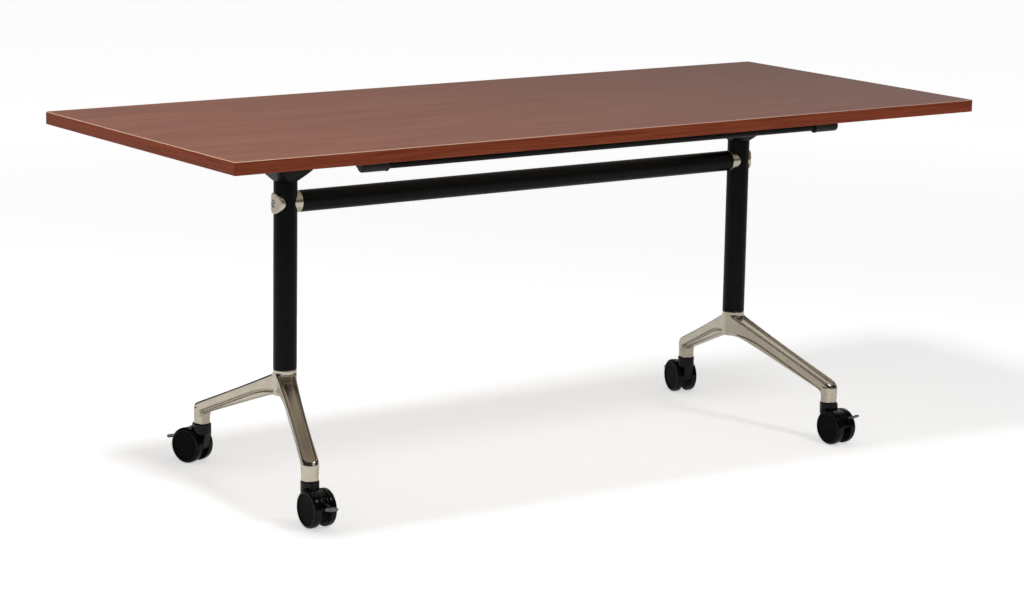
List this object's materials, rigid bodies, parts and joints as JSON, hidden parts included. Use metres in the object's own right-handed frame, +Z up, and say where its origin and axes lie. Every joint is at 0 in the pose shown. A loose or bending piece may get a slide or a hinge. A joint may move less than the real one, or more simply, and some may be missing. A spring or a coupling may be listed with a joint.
{
  "type": "flip top training table",
  "caption": "Training table whose rectangular laminate top tips upright on columns with splayed cast feet, freed by a sprung release bar, on braked twin-wheel casters.",
  "frame": {"origin": "on the floor, under the centre of the top", "axes": "+X along the length of the top to the user's right, +Y away from the user, +Z up"},
  "size_m": [1.829, 0.762, 0.7445],
  "materials": {
    "laminate": "mahogany print laminate on a particle board core, satin",
    "edge": "mahogany print edge band, satin",
    "powder_coat": "black powder coat, semi-matt",
    "nickel": "die casting with satin nickel plating",
    "zinc_steel": "zinc plated steel",
    "nylon": "black nylon",
    "moulding": "black moulded plastic, fine grain"
  },
  "bodies": {
    "base": {"crossbar": "powder_coat", "left_column": "powder_coat", "left_inner_saddle": "nickel", "left_outer_cap": "nickel", "left_tie_bolt": "zinc_steel", "left_crossbar_plug": "zinc_steel", "left_foot": "nickel", "left_flip_head": "powder_coat", "left_pivot_pin": "zinc_steel", "right_column": "powder_coat", "right_inner_saddle": "nickel", "right_outer_cap": "nickel", "right_tie_bolt": "zinc_steel", "right_crossbar_plug": "zinc_steel", "right_foot": "nickel", "right_flip_head": "powder_coat", "right_pivot_pin": "zinc_steel", "front_left_caster_stem": "zinc_steel", "front_right_caster_stem": "zinc_steel", "rear_left_caster_stem": "zinc_steel", "rear_right_caster_stem": "zinc_steel"},
    "top": {"tabletop_panel": "laminate", "edge_band": "edge", "left_top_bracket": "powder_coat", "right_top_bracket": "powder_coat", "left_latch_spring": "zinc_steel", "right_latch_spring": "zinc_steel"},
    "release": {"release_bar": "powder_coat", "left_release_grip": "moulding", "right_release_grip": "moulding", "left_latch_bolt": "zinc_steel", "right_latch_bolt": "zinc_steel"},
    "front_left_caster": {"front_left_caster_hood": "nylon", "front_left_axle": "zinc_steel"},
    "front_left_inner_wheel": {"front_left_inner_wheel": "nylon"},
    "front_left_outer_wheel": {"front_left_outer_wheel": "nylon"},
    "front_left_pedal": {"front_left_brake_pedal": "moulding"},
    "front_right_caster": {"front_right_caster_hood": "nylon", "front_right_axle": "zinc_steel"},
    "front_right_inner_wheel": {"front_right_inner_wheel": "nylon"},
    "front_right_outer_wheel": {"front_right_outer_wheel": "nylon"},
    "front_right_pedal": {"front_right_brake_pedal": "moulding"},
    "rear_left_caster": {"rear_left_caster_hood": "nylon", "rear_left_axle": "zinc_steel"},
    "rear_left_inner_wheel": {"rear_left_inner_wheel": "nylon"},
    "rear_left_outer_wheel": {"rear_left_outer_wheel": "nylon"},
    "rear_left_pedal": {"rear_left_brake_pedal": "moulding"},
    "rear_right_caster": {"rear_right_caster_hood": "nylon", "rear_right_axle": "zinc_steel"},
    "rear_right_inner_wheel": {"rear_right_inner_wheel": "nylon"},
    "rear_right_outer_wheel": {"rear_right_outer_wheel": "nylon"},
    "rear_right_pedal": {"rear_right_brake_pedal": "moulding"}
  },
  "joints": [
    {"name": "top_flip", "type": "hinge", "parent": "base", "child": "top", "pos_m": [0, 0.0247, 0.6965], "axis": [-1, 0, 0], "range_deg": [0, 90]},
    {"name": "release_pull", "type": "slide", "parent": "top", "child": "release", "axis": [0, -1, 0], "range_m": [0, 0.012], "stiffness_N_per_m": 1600, "springref_m": -0.006, "deforming": ["left_latch_spring", "right_latch_spring"]},
    {"name": "front_left_swivel", "type": "hinge", "parent": "base", "child": "front_left_caster", "pos_m": [-0.67401, -0.25346, 0.087], "axis": [0, 0, 1], "continuous": true},
    {"name": "front_left_inner_roll", "type": "hinge", "parent": "front_left_caster", "child": "front_left_inner_wheel", "pos_m": [-0.67401, -0.27946, 0.0375], "axis": [1, 0, 0], "continuous": true},
    {"name": "front_left_outer_roll", "type": "hinge", "parent": "front_left_caster", "child": "front_left_outer_wheel", "pos_m": [-0.67401, -0.27946, 0.0375], "axis": [1, 0, 0], "continuous": true},
    {"name": "front_left_brake", "type": "hinge", "parent": "front_left_caster", "child": "front_left_pedal", "pos_m": [-0.67401, -0.29746, 0.056], "axis": [1, 0, 0], "range_deg": [-34, 0]},
    {"name": "front_right_swivel", "type": "hinge", "parent": "base", "child": "front_right_caster", "pos_m": [0.63781, -0.26421, 0.087], "axis": [0, 0, 1], "continuous": true},
    {"name": "front_right_inner_roll", "type": "hinge", "parent": "front_right_caster", "child": "front_right_inner_wheel", "pos_m": [0.63872, -0.2902, 0.0375], "axis": [0.9994, 0.0349, 0], "continuous": true},
    {"name": "front_right_outer_roll", "type": "hinge", "parent": "front_right_caster", "child": "front_right_outer_wheel", "pos_m": [0.63872, -0.2902, 0.0375], "axis": [0.9994, 0.0349, 0], "continuous": true},
    {"name": "front_right_brake", "type": "hinge", "parent": "front_right_caster", "child": "front_right_pedal", "pos_m": [0.63935, -0.30819, 0.056], "axis": [0.9994, 0.0349, 0], "range_deg": [0, 34]},
    {"name": "rear_left_swivel", "type": "hinge", "parent": "base", "child": "rear_left_caster", "pos_m": [-0.61924, 0.26767, 0.087], "axis": [0, 0, 1], "continuous": true},
    {"name": "rear_left_inner_roll", "type": "hinge", "parent": "rear_left_caster", "child": "rear_left_inner_wheel", "pos_m": [-0.62813, 0.2921, 0.0375], "axis": [-0.9397, -0.342, 0], "continuous": true},
    {"name": "rear_left_outer_roll", "type": "hinge", "parent": "rear_left_caster", "child": "rear_left_outer_wheel", "pos_m": [-0.62813, 0.2921, 0.0375], "axis": [-0.9397, -0.342, 0], "continuous": true},
    {"name": "rear_left_brake", "type": "hinge", "parent": "rear_left_caster", "child": "rear_left_pedal", "pos_m": [-0.63429, 0.30902, 0.056], "axis": [-0.9397, -0.342, 0], "range_deg": [-34, 0]},
    {"name": "rear_right_swivel", "type": "hinge", "parent": "base", "child": "rear_right_caster", "pos_m": [0.6561, 0.25947, 0.087], "axis": [0, 0, 1], "continuous": true},
    {"name": "rear_right_inner_roll", "type": "hinge", "parent": "rear_right_caster", "child": "rear_right_inner_wheel", "pos_m": [0.66106, 0.28499, 0.0375], "axis": [-0.9816, 0.1908, 0], "continuous": true},
    {"name": "rear_right_outer_roll", "type": "hinge", "parent": "rear_right_caster", "child": "rear_right_outer_wheel", "pos_m": [0.66106, 0.28499, 0.0375], "axis": [-0.9816, 0.1908, 0], "continuous": true},
    {"name": "rear_right_brake", "type": "hinge", "parent": "rear_right_caster", "child": "rear_right_pedal", "pos_m": [0.6645, 0.30266, 0.056], "axis": [-0.9816, 0.1908, 0], "range_deg": [-34, 0]}
  ]
}
